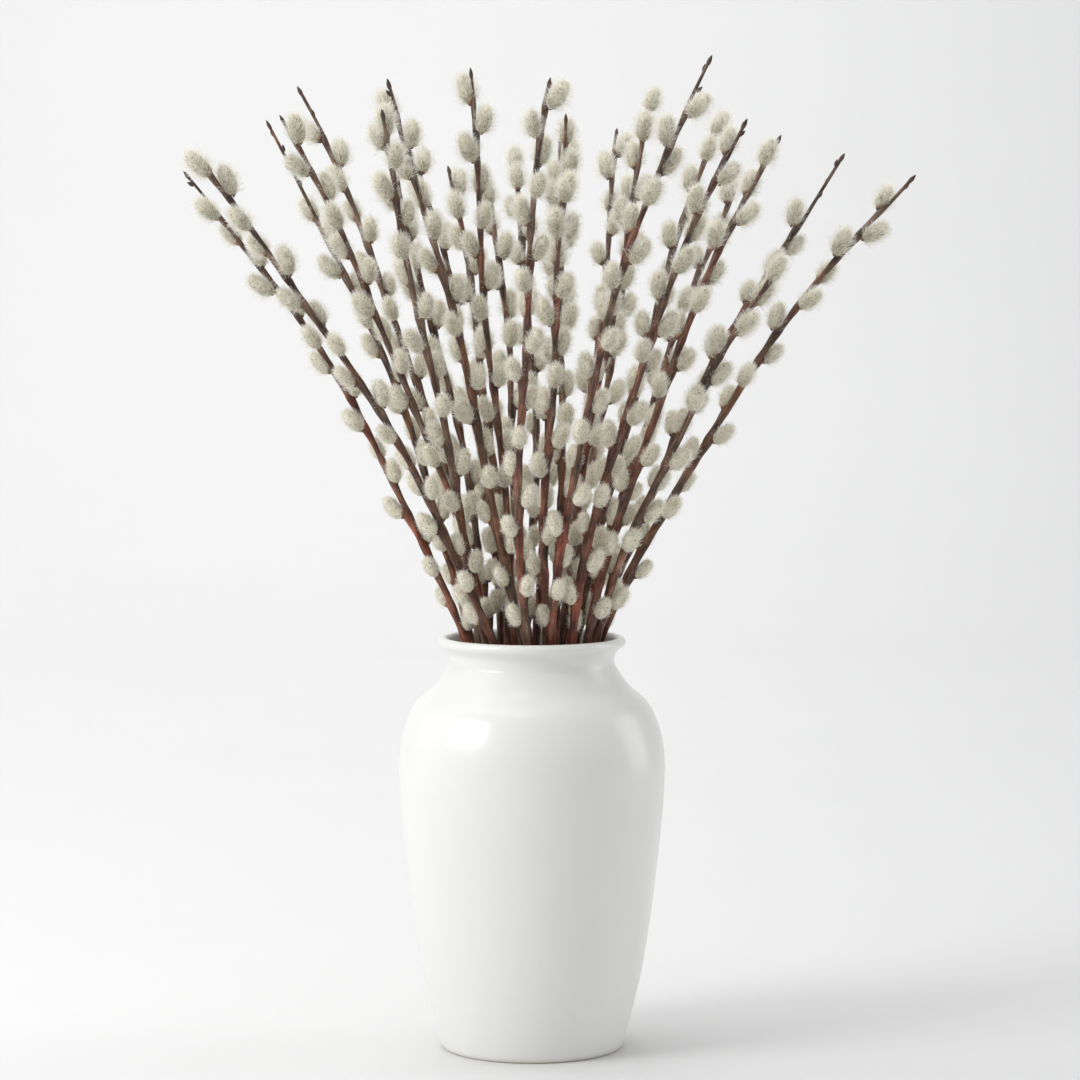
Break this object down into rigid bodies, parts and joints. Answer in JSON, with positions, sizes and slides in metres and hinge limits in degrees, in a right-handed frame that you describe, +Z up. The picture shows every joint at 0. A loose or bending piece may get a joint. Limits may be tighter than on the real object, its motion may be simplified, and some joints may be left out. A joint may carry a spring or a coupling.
{
  "type": "pussy willow stems in vase",
  "caption": "Bunch of pussy willow stems with furry catkins fanning out of a tall white glazed ceramic vase with a rolled lip.",
  "frame": {"origin": "centre of the vase's flat base", "axes": "+Z up along the vase's axis, the front of the bunch towards -Y, +X to the right as seen from the front"},
  "size_m": [0.4997, 0.3797, 0.6736],
  "materials": {
    "white_glaze": "gloss",
    "willow_bark": "satin",
    "catkin_fur": "matte"
  },
  "bodies": {
    "root": {"vase": "white_glaze", "willow_stem_01": "willow_bark", "willow_stem_02": "willow_bark", "willow_stem_03": "willow_bark", "willow_stem_04": "willow_bark", "willow_stem_05": "willow_bark", "willow_stem_06": "willow_bark", "willow_stem_07": "willow_bark", "willow_stem_08": "willow_bark", "willow_stem_09": "willow_bark", "willow_stem_10": "willow_bark", "willow_stem_11": "willow_bark", "willow_stem_12": "willow_bark", "willow_stem_13": "willow_bark", "willow_stem_14": "willow_bark", "willow_stem_15": "willow_bark", "willow_stem_16": "willow_bark", "willow_stem_17": "willow_bark", "willow_stem_18": "willow_bark", "willow_stem_19": "willow_bark", "willow_stem_20": "willow_bark", "willow_stem_21": "willow_bark", "willow_stem_22": "willow_bark", "willow_stem_23": "willow_bark", "willow_stem_24": "willow_bark", "willow_stem_25": "willow_bark", "willow_stem_26": "willow_bark", "willow_stem_27": "willow_bark", "willow_stem_28": "willow_bark"}
  },
  "joints": []
}
